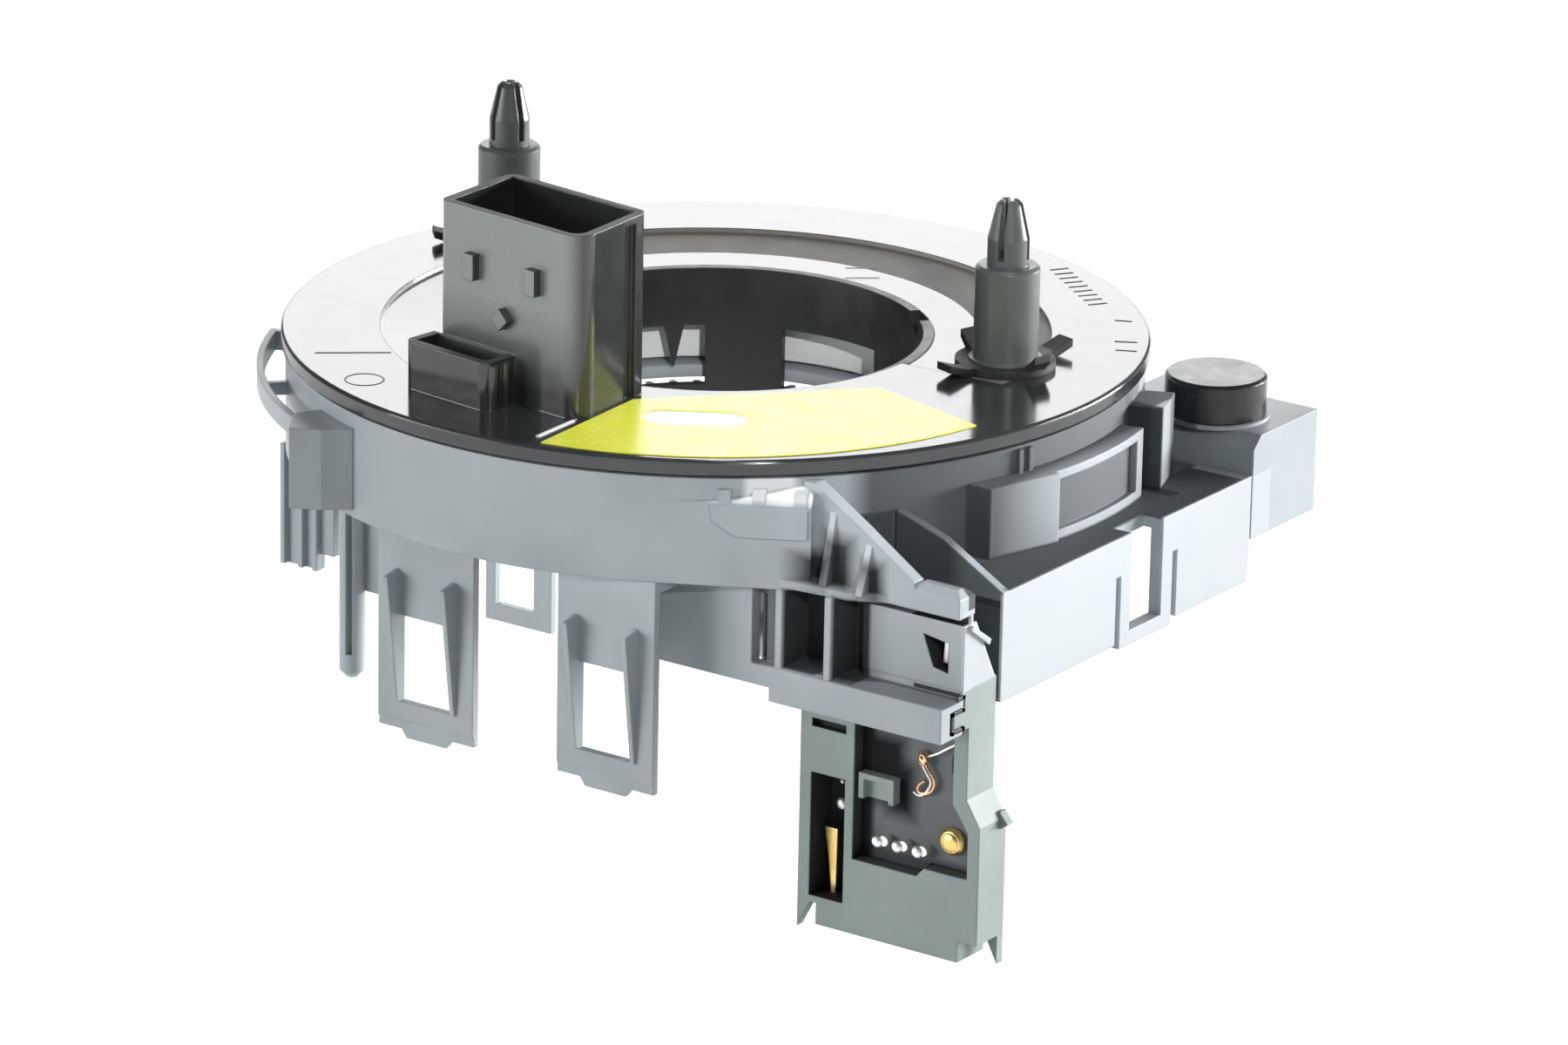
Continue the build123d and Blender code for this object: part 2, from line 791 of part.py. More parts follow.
def front_leg(left, right):
    middle = (left + right) / 2
    back = leg_y + leg_thickness
    half = leg_window_width / 2
    lip = leg_lip_width / 2
    body = block(left, right, leg_y, back, -leg_depth, 0.0)
    body += wall(((middle - lip, 0.3 - leg_depth), (middle - lip + 0.9, -leg_depth - leg_lip),
                  (middle + lip - 0.9, -leg_depth - leg_lip), (middle + lip, 0.3 - leg_depth)), leg_y, back)
    body -= block(left - 1.0, right + 1.0, leg_y - 1.0, leg_y + 0.2, -leg_depth - 2.0, leg_step - leg_depth)
    body -= block(middle - half, middle + half, leg_y - 1.0, back + 1.0, leg_window_bottom, leg_window_top)
    for x in (middle - half - leg_rib_width, middle + half):
        body += side(((leg_y + 0.2, leg_rib_top), (leg_y - leg_rib_reach, leg_rib_top - 0.5),
                      (leg_y - 0.3, leg_window_bottom), (leg_y + 0.2, leg_window_bottom)),
                     x, x + leg_rib_width)
    return body + block(left, right, leg_y, -base_plate_radius * 0.9, -base_plate, 0.0)


def rear_leg():
    left, right = back_leg
    x0, x1, z0, z1 = back_leg_window
    body = block(left, right, back_leg_y, back_leg_y + leg_thickness, -back_leg_depth, 0.0)
    return body - block(x0, x1, back_leg_y - 1.0, back_leg_y + leg_thickness + 1.0, z0, z1)


def skirt():
    """Wall under the front of the drum, with the ledge over the module and the side block."""
    low = -frame_depth
    back = skirt_y + frame_wall
    module_way = module_front - fit_gap
    body = block(skirt_left, recess_left, skirt_y, back, low, 0.0)
    body += block(recess_left - 0.2, ledge_left, skirt_y, back, low, ledge_top)
    body += block(skirt_left, skirt_left + frame_wall, skirt_y, skirt_root, low, 0.0)
    body += block(ledge_left - frame_wall, ledge_left, back - 0.1, module_way, low, 0.0)
    body += block(skirt_left, ledge_left, back - 0.1, skirt_root, -base_plate, 0.0)
    body += block(ledge_left - 0.2, flange_x, skirt_y, module_way, ledge_bottom, ledge_top)
    body += block(ledge_left - 0.2, flange_x, block_y + 1.2, module_way, ledge_top - 0.2, shelf_under)
    body += block(block_left, flange_x, block_y + 0.1, module_way, ledge_top - 0.2, block_bottom + 0.2)
    for place in shelf_rib_places:
        x = ledge_left + place
        body += block(x, x + shelf_rib_width, shelf_front + 0.1, block_y + 1.5, ledge_top - 0.2, shelf_under)
    body += side((
        (block_y, block_bottom),
        (block_y, block_top),
        (block_top_back, block_top),
        (block_back, block_bottom)), block_left, flange_x)
    body -= side(tongue(joint_gap), block_left - joint_gap, flange_x + 1.0)
    body -= sector(cover_inner_radius - fit_gap, cover_outer_radius + fit_gap, cover_angles[0] - 0.5,
                   cover_angles[1] + 0.5, low - 1.0, -base_plate)
    return body - wall(from_flange(peep_window), block_y - 1.0, block_y + 3.0)


def base_frame():
    inner_wall = flange_x - frame_wall
    low = -frame_depth
    body = sector(base_hole_radius, base_plate_radius, 0, 360, -base_plate, 0.0)

    hold = flange_half_width - frame_wall
    lid = block(drum_radius - 12.0, flange_x, web_y, flange_half_width,
                flange_top - flange_plate, flange_top)
    clearing = drum(drum_radius + shaft_gap, 0.0, flange_top + 1.0)
    body += lid - clearing - drum(base_plate_radius - 1.0, -10.0, 10.0)
    flank = block(inner_wall, flange_x, web_y, flange_half_width, low, flange_top)
    far = block(drum_radius - 2.5, flange_x, hold, flange_half_width, low, flange_top)
    body += flank + (far - clearing)
    web_left = math.sqrt((drum_radius + fit_gap) ** 2 - web_y ** 2) + 0.3
    web_back = web_y + web_thickness
    body += wall(((web_left, low), (flange_x, low), (flange_x, flange_top),
                  (flange_x - 8.0, web_rise[1]), (web_left, web_rise[0])), web_y, web_back)

    for y in snap_slit_y:
        body -= block(inner_wall - 1.0, flange_x + 1.0, y, y + snap_slit_width, low - 1.0, snap_slit_top)
    first = snap_slit_y[0] + snap_slit_width
    last = snap_slit_y[1]
    body += block(inner_wall, flange_x, first, last, low - snap_tongue_drop, low + 0.2)
    body -= block(inner_wall - 1.0, flange_x + 1.0, *snap_window_y, snap_window_low, flange_top + 1.0)

    body += skirt()
    body += block(block_left, web_left + 6.0, block_back - 0.4, web_y + 0.2, block_bottom, block_bottom + 1.4)
    body -= drum(drum_radius + shaft_gap, 0.0, drum_height) + bulge()
    body += front_leg(*leg_one) + front_leg(*leg_two) + rear_leg()

    peg_end = drum(peg_radius, -peg_depth + 0.8, 0.0, peg_x, peg_y)
    peg_end += Pos(peg_x, peg_y, -peg_depth) * Cone(peg_radius - 0.8, peg_radius, 0.8,
                                                  align=(Align.CENTER, Align.CENTER, Align.MIN))
    peg_end -= block(peg_x + 0.2, peg_x + 0.9, peg_y - peg_radius - 0.1, peg_y - peg_radius + 0.9,
                     -peg_depth + 3.0, -6.0)
    body += peg_end
    tab_back = peg_y + leg_thickness
    tab = block(tab_left, peg_x - peg_radius - 1.2, peg_y, tab_back, -tab_depth, 0.0)
    tab -= block(tab_left + 5.2, peg_x, peg_y - 1.0, tab_back + 1.0, -tab_depth - 1.0, -tab_depth + 2.0)
    for x in (tab_left, tab_left + 2.6, tab_left + 4.7):
        tab += block(x, x + 0.6, peg_y - 0.7, peg_y + 0.2, -tab_depth, 0.0)
    tab += block(peg_x + 1.2, peg_x + 3.6, peg_y + 0.6, tab_back, -tab_depth - 1.4, 0.0)
    tab += block(tab_left, peg_x + 3.6, peg_y - 0.7, -18.0, -base_plate, 0.0) & drum(
        drum_radius - 0.3, -base_plate, 0.0)
    body += tab

    for teeth, angle in ((gear_a_teeth, gear_a_angle), (gear_b_teeth, gear_b_angle)):
        x, y = gear_spot(teeth, angle)
        body += drum(gear_pin_radius, gear_bottom - magnet_height, -base_plate + 0.2, x, y)
    for angle, radius in screw_spots:
        x, y = polar(radius, angle)
        body += drum(screw_boss_radius, cover_bottom + cover_wall, 0.0, x, y)
        body -= drum(screw_radius, cover_bottom, -base_plate - 0.6, x, y)
    return body


def gear_cover():
    first, last = cover_angles
    body = sector(cover_inner_radius, cover_outer_radius, first, last, cover_bottom, -base_plate)
    body -= sector(cover_inner_radius + cover_wall, cover_outer_radius - cover_wall,
                   first + 2.0, last - 2.0, cover_bottom + cover_wall, 0.0)
    body -= drum(base_hole_radius + 2.0, gear_bottom - clip_height - running_gap, 0.0)
    for angle, radius in screw_spots:
        x, y = polar(radius, angle)
        lug = drum(screw_boss_radius, cover_bottom, cover_bottom + cover_wall, x, y)
        if radius > cover_outer_radius:
            bridge = sector(cover_outer_radius - 0.5, radius, angle - 3.0, angle + 3.0,
                            cover_bottom, cover_bottom + cover_wall)
        else:
            bridge = sector(radius - 2.4, radius + 2.4, min(angle, last - 1.0), max(angle, first + 1.0),
                            cover_bottom, cover_bottom + cover_wall)
        body += lug
        body += bridge
    for angle, radius in screw_spots:
        x, y = polar(radius, angle)
        body -= drum(screw_boss_radius + shaft_gap, cover_bottom + cover_wall, 0.0, x, y)
        body -= drum(screw_radius + shaft_gap, cover_bottom - 1.0, cover_bottom + cover_wall + 1.0, x, y)
    board_low = chamber_board_top - board_thickness
    for angle in (first + 8.0, last - 8.0):
        x, y = polar((cover_inner_radius + cover_outer_radius) / 2 + 1.5, angle)
        body += drum(1.8, cover_bottom + 0.2, board_low, x, y)
    return body


def sensor_board():
    first, last = cover_angles
    return sector(base_hole_radius + 2.3, cover_outer_radius - cover_wall - fit_gap,
                  first + 3.0, last - 3.0, chamber_board_top - board_thickness, chamber_board_top)


def case_screws():
    screws = []
    for angle, radius in screw_spots:
        x, y = polar(radius, angle)
        head = drum(screw_head_radius, cover_bottom - screw_head_height, cover_bottom, x, y)
        head -= block(x - 1.1, x + 1.1, y - 0.2, y + 0.2, cover_bottom - 2 * screw_head_height,
                      cover_bottom - screw_head_height / 2)
        head -= block(x - 0.2, x + 0.2, y - 1.1, y + 1.1, cover_bottom - 2 * screw_head_height,
                      cover_bottom - screw_head_height / 2)
        screws.append(head + drum(screw_radius - shaft_gap, cover_bottom - 0.1,
                                  cover_bottom + screw_length, x, y))
    return Compound(children=screws)


def module_case():
    high, shoulder = module_shoulder
    foot = module_depth + module_notch
    body = wall((
        (module_left, module_top),
        (module_neck_right, module_top),
        (module_neck_right, high),
        (module_right, shoulder),
        (module_right, foot),
        (module_right - module_notch, foot),
        (module_right - module_notch, module_depth),
        (module_left + module_notch, module_depth),
        (module_left + module_notch, foot),
        (module_left, foot)), module_front, module_back)
    body += side(tongue(0.0), -block_inset, module_neck_right)
    left_tooth = ((module_left, foot + 0.2), (module_left, module_depth - 0.8), (module_left + 1.8, foot + 0.2))
    body += wall(left_tooth, module_front, module_front + module_skin)
    body += wall(((module_right, foot + 0.2), (module_right, module_depth - 0.8),
                  (module_right - 1.8, foot + 0.2)), module_back - module_skin, module_back)
    body += wall(((module_right - 0.2, shoulder + 0.8), (module_right + 1.0, shoulder - 0.6),
                  (module_right - 0.2, shoulder - 1.4)), module_back - module_skin, module_back)
    x0, x1, z0, z1 = blade_window
    body -= block(x0, x1, module_front - 1.0, module_front + blade_window_depth, z0, z1)
    x0, x1, z0, z1 = module_slot
    body -= block(x0, x1, module_front - 1.0, module_front + 1.0, z0, z1)
    body -= wall(bay_outline, module_front - 1.0, module_front + bay_depth)
    low = -frame_depth - fit_gap
    body -= block(module_left - 1.0, -block_inset, module_front - 1.0, module_back + 1.0, low, 0.0)
    return Pos(flange_x, 0, 0) * body


def module_board():
    back = module_front + bay_depth
    face = make_face(Plane.XZ * Polyline(*bay_outline, close=True))
    face = offset(face, -fit_gap)
    return Pos(flange_x, back - board_thickness, 0) * extrude(face, board_thickness, dir=(0, 1, 0))


def on_board(shape, x, z, lift):
    """Stand a round piece on the front of the module board."""
    surface = module_front + bay_depth - board_thickness
    return Pos(flange_x + x, surface, z) * extrude(Plane.XZ * shape, lift, dir=(0, -1, 0))


def contact_rivet():
    body = on_board(Circle(rivet_radius), *rivet_spot, 0.9)
    return chamfer(body.edges().sort_by(Axis.Y)[0], 0.4)


def contact_pins():
    return Compound(children=[on_board(Circle(contact_pin_radius), x, contact_pin_z, 1.2)
                              for x in contact_pin_spots])


def board_bracket():
    x0, x1, z0, z1 = bracket_box
    surface = module_front + bay_depth - board_thickness
    body = block(x0, x1, surface - 1.3, surface, z0, z1)
    body -= block(x0 + bracket_wall, x1 - bracket_wall, surface - 2.0, surface - 0.4,
                  z0 - 1.0, z1 - bracket_wall)
    return Pos(flange_x, 0, 0) * body


def contact_blade():
    low = blade_window[2]
    back = module_front + blade_window_depth
    half = blade_width / 2
    points = ((low, back), (low + 1.5, back - 1.0), (blade_top - 1.5, back - 1.0), (blade_top, back))
    path = Polyline(*[(y, z) for z, y in points], *[(y - 0.35, z) for z, y in reversed(points)], close=True)
    face = make_face(Plane.YZ * path)
    return Pos(flange_x + blade_x - half, 0, 0) * extrude(face, blade_width, dir=(1, 0, 0))


def lead_tail():
    x, z = tail_spot
    surface = module_front + bay_depth - board_thickness
    knob = on_board(Circle(0.9), x, z, 1.0)
    loop = TangentArc((x, z), (x + 1.9, z - 2.2), tangent=(1, -0.3))
    loop += TangentArc((x + 1.9, z - 2.2), (x - 0.2, z - 4.4), tangent=loop % 1)
    path = Plane.XZ * loop
    start = path @ 0
    section = Plane(origin=start, z_dir=path % 0) * RegularPolygon(tail_radius, 6)
    tube = sweep(section, path=path)
    return knob + Pos(flange_x, surface - 0.5, 0) * tube


def rear_block():
    front = flange_half_width + 0.3
    chamber = cap_radius + 0.5
    body = block(rear_left, 0.0, front, rear_back, rear_bottom, rear_top)
    body = chamfer(body.edges().filter_by(Axis.X).group_by(Axis.Z)[-1].sort_by(Axis.Y)[0], 1.5)
    body += drum(chamber, rear_top - 0.1, rear_top + cap_collar, *cap_spot)
    x0, x1, y0, y1 = socket_box
    body -= block(x0, x1, y0, y1, rear_bottom - 1.0, socket_roof)
    body = Pos(flange_x, 0, 0) * body
    return body - drum(disc_radius + running_gap, rear_bottom - 1.0, disc_top)


def harness_terminals():
    x0, x1, y0, y1 = socket_box
    pins = []
    for number in range(4):
        y = (y0 + y1) / 2 + (number - 1.5) * terminal_pitch
        high = (Align.CENTER, Align.CENTER, Align.MAX)
        pin = Box(terminal_width, terminal_width, 3.0, align=high)
        pins.append(Pos(flange_x + (x0 + x1) / 2, y, socket_roof) * pin)
    return Compound(children=pins)


def round_cap():
    low = rear_top + cap_collar
    body = Pos(flange_x, 0, 0) * drum(cap_radius, low, rear_top + cap_height, *cap_spot)
    return chamfer(body.edges().sort_by(Axis.Z)[-1], 0.35)


os.makedirs("parts", exist_ok=True)
write("rotor_disc", rotor_disc())
write("hub_sleeve", hub_sleeve())
write("spool_ring", spool_ring())
write("drive_gear", drive_gear())
write("sleeve_clip", sleeve_clip())
write("post_right", post(post_right_radius, post_right_angle))
write("post_left", post(post_left_radius, post_left_angle))
write("post_stars", post_stars())
write("wheel_terminals", wheel_terminals())
write("instruction_label", instruction_label())
write("index_window", index_window())
write("stator_housing", stator_housing())
write("base_frame", base_frame())
write("gear_cover", gear_cover())
write("sensor_board", sensor_board())
write("case_screws", case_screws())
write("gear_a", small_gear(gear_a_teeth, gear_a_angle))
write("gear_b", small_gear(gear_b_teeth, gear_b_angle))
write("magnet_a", magnet(gear_a_teeth, gear_a_angle))
write("magnet_b", magnet(gear_b_teeth, gear_b_angle))
write("flat_cable", flat_cable())
write("cable_guide", cable_guide())
write("module_case", module_case())
write("module_board", module_board())
write("board_bracket", board_bracket())
write("contact_blade", contact_blade())
write("contact_rivet", contact_rivet())
write("contact_pins", contact_pins())
write("lead_tail", lead_tail())
write("rear_block", rear_block())
write("harness_terminals", harness_terminals())
write("round_cap", round_cap())
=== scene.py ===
import math

import bmesh
import bpy
from mathutils import Matrix, Vector


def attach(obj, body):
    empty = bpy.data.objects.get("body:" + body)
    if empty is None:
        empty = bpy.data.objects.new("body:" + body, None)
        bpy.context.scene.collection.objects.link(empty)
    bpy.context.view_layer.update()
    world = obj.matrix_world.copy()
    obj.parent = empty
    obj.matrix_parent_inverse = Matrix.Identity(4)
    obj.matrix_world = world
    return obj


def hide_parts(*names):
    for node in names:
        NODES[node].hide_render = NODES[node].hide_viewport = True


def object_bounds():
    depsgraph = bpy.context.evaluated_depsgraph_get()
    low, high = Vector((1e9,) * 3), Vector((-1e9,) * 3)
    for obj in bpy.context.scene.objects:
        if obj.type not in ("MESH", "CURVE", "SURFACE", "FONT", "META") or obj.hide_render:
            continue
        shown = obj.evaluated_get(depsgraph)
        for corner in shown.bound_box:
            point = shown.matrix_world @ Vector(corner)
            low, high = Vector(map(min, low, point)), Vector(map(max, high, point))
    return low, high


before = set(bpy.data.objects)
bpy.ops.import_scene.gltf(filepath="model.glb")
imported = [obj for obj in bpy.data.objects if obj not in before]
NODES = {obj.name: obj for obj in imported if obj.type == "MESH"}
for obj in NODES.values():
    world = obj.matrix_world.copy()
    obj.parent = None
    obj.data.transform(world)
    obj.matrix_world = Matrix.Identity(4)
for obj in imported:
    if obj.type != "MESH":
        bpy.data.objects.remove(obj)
CAD_LOW, CAD_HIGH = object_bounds()
MM = 0.001


# Camera at the photograph's angle

IMAGE_WIDTH, IMAGE_HEIGHT = 1800, 1200
FOCAL_PIXELS = 9000.0
SENSOR_WIDTH = 36.0
AZIMUTH, ELEVATION, ROLL = (math.radians(a) for a in (35.06, 17.35, 0.976))
DISTANCE = 0.9026
TARGET = Vector((0.0, 0.0, 0.0145))
TARGET_PIXEL = (822.17, 372.02)


def make_camera():
    """The target stays on its pixel: the camera is turned until that ray is where the photograph has it."""
    back = Vector((math.sin(AZIMUTH) * math.cos(ELEVATION),
                   -math.cos(AZIMUTH) * math.cos(ELEVATION),
                   math.sin(ELEVATION)))
    level = Vector((math.cos(AZIMUTH), math.sin(AZIMUTH), 0.0))
    upright = back.cross(level)
    right = level * math.cos(ROLL) + upright * math.sin(ROLL)
    up = -level * math.sin(ROLL) + upright * math.cos(ROLL)
    across = (IMAGE_WIDTH / 2 - TARGET_PIXEL[0]) / FOCAL_PIXELS
    down = (IMAGE_HEIGHT / 2 - TARGET_PIXEL[1]) / FOCAL_PIXELS
    forward = (right * across - up * down - back).normalized()
    turn = (-back).rotation_difference(forward)
    right.rotate(turn)
    up.rotate(turn)
    camera = bpy.data.objects.new("camera", bpy.data.cameras.new("camera"))
    bpy.context.scene.collection.objects.link(camera)
    axes = Matrix((right, up, -forward)).transposed().to_4x4()
    camera.matrix_world = Matrix.Translation(TARGET + back * DISTANCE) @ axes
    camera.data.sensor_fit = "HORIZONTAL"
    camera.data.sensor_width = SENSOR_WIDTH
    camera.data.lens = SENSOR_WIDTH * FOCAL_PIXELS / IMAGE_WIDTH
    camera.data.clip_start = 0.01
    camera.data.clip_end = 20.0
    bpy.context.scene.camera = camera


# Small steps that the node trees are made of

def new_material(name):
    material = bpy.data.materials.new(name)
    material.use_nodes = True
    material.node_tree.nodes.clear()
    return material, material.node_tree.nodes, material.node_tree.links


def principled(material):
    return next(node for node in material.node_tree.nodes if node.bl_idname == "ShaderNodeBsdfPrincipled")


def calculate(nodes, links, operation, first, second):
    """One sum on sockets or plain numbers."""
    node = nodes.new("ShaderNodeMath")
    node.operation = operation
    for place, value in enumerate((first, second)):
        if isinstance(value, (int, float)):
            node.inputs[place].default_value = value
        else:
            links.new(value, node.inputs[place])
    return node.outputs["Value"]


def product(nodes, links, first, *others):
    for other in others:
        first = calculate(nodes, links, "MULTIPLY", first, other)
    return first


def ramp(nodes, links, value, start, end):
    """0 before start and 1 after end; start may lie after end."""
    node = nodes.new("ShaderNodeMapRange")
    node.inputs["From Min"].default_value = start
    node.inputs["From Max"].default_value = end
    links.new(value, node.inputs["Value"])
    return node.outputs["Result"]


def between(nodes, links, value, low, high, soft):
    """1 from low to high and 0 outside, with soft edges."""
    return product(nodes, links, ramp(nodes, links, value, low - soft, low),
                   ramp(nodes, links, value, high + soft, high))


def blended(nodes, links, amount, before, after):
    """Mix of two colours, either of which may be a socket."""
    node = nodes.new("ShaderNodeMix")
    node.data_type = "RGBA"
    for name, value in (("A", before), ("B", after)):
        if isinstance(value, tuple):
            node.inputs[name].default_value = (*value, 1.0)
        else:
            links.new(value, node.inputs[name])
    links.new(amount, node.inputs["Factor"])
    return node.outputs["Result"]


def noise(nodes, links, place, scale, detail=3.0, rough=0.55):
    node = nodes.new("ShaderNodeTexNoise")
    node.inputs["Scale"].default_value = scale
    node.inputs["Detail"].default_value = detail
    node.inputs["Roughness"].default_value = rough
    links.new(place, node.inputs["Vector"])
    return node.outputs["Fac"]


NOISE_RANGE = 0.2, 0.8


def spread(nodes, links, value, low, high):
    """Carry the middle range of a noise over to low and high."""
    node = nodes.new("ShaderNodeMapRange")
    node.interpolation_type = "SMOOTHSTEP"
    node.inputs["From Min"].default_value, node.inputs["From Max"].default_value = NOISE_RANGE
    node.inputs["To Min"].default_value = low
    node.inputs["To Max"].default_value = high
    links.new(value, node.inputs["Value"])
    return node.outputs["Result"]


def box_mask(nodes, links, place, low, high, soft):
    """1 inside a box given in millimetres, falling to 0 over a soft margin outside it."""
    middle = [(a + b) / 2 * MM for a, b in zip(low, high)]
    half = [(b - a) / 2 * MM for a, b in zip(low, high)]
    offset = place
    for operation, value in (("SUBTRACT", middle), ("ABSOLUTE", None), ("SUBTRACT", half)):
        node = nodes.new("ShaderNodeVectorMath")
        node.operation = operation
        links.new(offset, node.inputs[0])
        if value:
            node.inputs[1].default_value = value
        offset = node.outputs["Vector"]
    parts = nodes.new("ShaderNodeSeparateXYZ")
    links.new(offset, parts.inputs[0])
    widest = calculate(nodes, links, "MAXIMUM", parts.outputs["X"], parts.outputs["Y"])
    widest = calculate(nodes, links, "MAXIMUM", widest, parts.outputs["Z"])
    return ramp(nodes, links, widest, soft * MM, 0.0)


# World, floor and lamps

WHITE = (1.0, 1.0, 1.0, 1.0)
ROOM_COLOUR = (0.93, 0.96, 1.0, 1.0)
ROOM_STRENGTH = 0.14
FLOOR_COLOUR = (0.80, 0.80, 0.80, 1.0)
FLOOR_RADIUS = 4.0
FLOOR_GAP = 0.2 * MM
FLOOR_GLOW = 0.12
SEEN_FLOOR_GLOW = 0.75
BEAM_BLEND = 0.3
BEAM_SOURCE = 0.04


def make_world():
    """Dim cool room light, with a white background for the camera alone."""
    world = bpy.data.worlds.new("studio")
    bpy.context.scene.world = world
    world.use_nodes = True
    nodes, links = world.node_tree.nodes, world.node_tree.links
    nodes.clear()
    out = nodes.new("ShaderNodeOutputWorld")
    room = nodes.new("ShaderNodeBackground")
    room.inputs["Color"].default_value = ROOM_COLOUR
    room.inputs["Strength"].default_value = ROOM_STRENGTH
    seen = nodes.new("ShaderNodeBackground")
    seen.inputs["Color"].default_value = WHITE
    seen.inputs["Strength"].default_value = 1.0
    path = nodes.new("ShaderNodeLightPath")
    mix = nodes.new("ShaderNodeMixShader")
    links.new(path.outputs["Is Camera Ray"], mix.inputs[0])
    links.new(room.outputs[0], mix.inputs[1])
    links.new(seen.outputs[0], mix.inputs[2])
    links.new(mix.outputs[0], out.inputs[0])


def make_floor():
    """Pale floor that shows the object's shadow and reads as white where it is seen or mirrored."""
    mesh = bpy.data.meshes.new("floor")
    floor = bpy.data.objects.new("floor", mesh)
    bpy.context.scene.collection.objects.link(floor)
    shape = bmesh.new()
    bmesh.ops.create_circle(shape, cap_ends=True, segments=96, radius=FLOOR_RADIUS)
    shape.to_mesh(mesh)
    shape.free()
    floor.location.z = CAD_LOW.z - FLOOR_GAP
    material, nodes, links = new_material("floor")
    out = nodes.new("ShaderNodeOutputMaterial")
    paper = nodes.new("ShaderNodeBsdfDiffuse")
    paper.inputs["Color"].default_value = FLOOR_COLOUR
    glow = nodes.new("ShaderNodeEmission")
    glow.inputs["Color"].default_value = WHITE
    path = nodes.new("ShaderNodeLightPath").outputs
    seen = calculate(nodes, links, "MAXIMUM", path["Is Camera Ray"], path["Is Glossy Ray"])
    seen = calculate(nodes, links, "MAXIMUM", seen, path["Is Transmission Ray"])
    level = calculate(nodes, links, "ADD", product(nodes, links, seen, SEEN_FLOOR_GLOW), FLOOR_GLOW)
    links.new(level, glow.inputs["Strength"])
    add = nodes.new("ShaderNodeAddShader")
    links.new(paper.outputs[0], add.inputs[0])
    links.new(glow.outputs[0], add.inputs[1])
    links.new(add.outputs[0], out.inputs[0])
    mesh.materials.append(material)


def hang(name, data, place, aim):
    light = bpy.data.objects.new(name, data)
    bpy.context.scene.collection.objects.link(light)
    light.location = place
    way = Vector(aim) - Vector(place)
    light.rotation_euler = way.to_track_quat("-Z", "Y").to_euler()
    return light


def lamp(name, place, size, watts):
    """A soft rectangular lamp, aimed at the middle of the object."""
    data = bpy.data.lights.new(name, "AREA")
    data.shape = "RECTANGLE"
    data.size, data.size_y = size
    data.energy = watts
    return hang(name, data, place, (0.0, 0.0, 0.0))


def narrow_lamp(name, place, aim, degrees, watts):
    """A soft-edged beam, for light that reaches down into the bore or on to the label."""
    data = bpy.data.lights.new(name, "SPOT")
    data.energy = watts
    data.spot_size = math.radians(degrees)
    data.spot_blend = BEAM_BLEND
    data.shadow_soft_size = BEAM_SOURCE
    hang(name, data, place, aim)


def polar(distance, azimuth, elevation):
    turn, rise = math.radians(azimuth), math.radians(elevation)
    return (distance * math.cos(turn) * math.cos(rise),
            distance * math.sin(turn) * math.cos(rise),
            distance * math.sin(rise))


bpy.context.scene.view_settings.view_transform = "Standard"
make_camera()
make_world()
make_floor()
lamp("key", polar(1.35, 54.0, 5.0), (0.9, 0.28), 37.0)
lamp("fill", polar(1.40, -128.0, 8.0), (0.9, 0.4), 12.0)
back = lamp("back", (-0.75, 1.05, 0.42), (1.3, 0.55), 8.0)
back.visible_diffuse = False
narrow_lamp("bore", polar(1.2, -42.0, 26.0), (-0.004, 0.019, 0.003), 2.5, 80.0)
narrow_lamp("label", polar(1.2, -50.0, 83.0), (0.026, -0.029, 0.0145), 2.8, 58.0)


# Finishes

COARSE_GRAIN = 0.020 * MM
FINE_GRAIN = 0.008 * MM
GLOSS_GRAIN = 0.006 * MM
METAL_GRAIN = 0.002 * MM
EDGE_ROUND = 0.25 * MM
PATCH_SCALE = 3.1
GRAIN_STRENGTH = 0.5


def solid(name, low, high, rough, mottle=90.0, grain=1800.0, depth=COARSE_GRAIN, metal=0.0,
          edge=EDGE_ROUND, ior=1.5, mirror=0.5):
    """A moulded or turned surface: slow colour drift, uneven gloss, fine grain and softened edges."""
    material, nodes, links = new_material(name)
    out = nodes.new("ShaderNodeOutputMaterial")
    shader = nodes.new("ShaderNodeBsdfPrincipled")
    shader.inputs["Metallic"].default_value = metal
    shader.inputs["IOR"].default_value = ior
    shader.inputs["Specular IOR Level"].default_value = mirror
    place = nodes.new("ShaderNodeTexCoord").outputs["Object"]
    drift = spread(nodes, links, noise(nodes, links, place, mottle), 0.0, 1.0)
    links.new(blended(nodes, links, drift, low, high), shader.inputs["Base Color"])
    patch = noise(nodes, links, place, mottle * PATCH_SCALE, detail=2.0)
    links.new(spread(nodes, links, patch, *rough), shader.inputs["Roughness"])
    bump = nodes.new("ShaderNodeBump")
    bump.inputs["Strength"].default_value = GRAIN_STRENGTH
    bump.inputs["Distance"].default_value = depth
    links.new(noise(nodes, links, place, grain, detail=4.0, rough=0.6), bump.inputs["Height"])
    if edge:
        soft = nodes.new("ShaderNodeBevel")
        soft.samples = 4
        soft.inputs["Radius"].default_value = edge
        links.new(soft.outputs["Normal"], bump.inputs["Normal"])
    links.new(bump.outputs["Normal"], shader.inputs["Normal"])
    links.new(shader.outputs[0], out.inputs[0])
    return material


def metal(name, low, high, rough, mottle=500.0):
    return solid(name, low, high, rough, mottle=mottle, depth=METAL_GRAIN, metal=1.0)


MATT_BLACK = 0.8


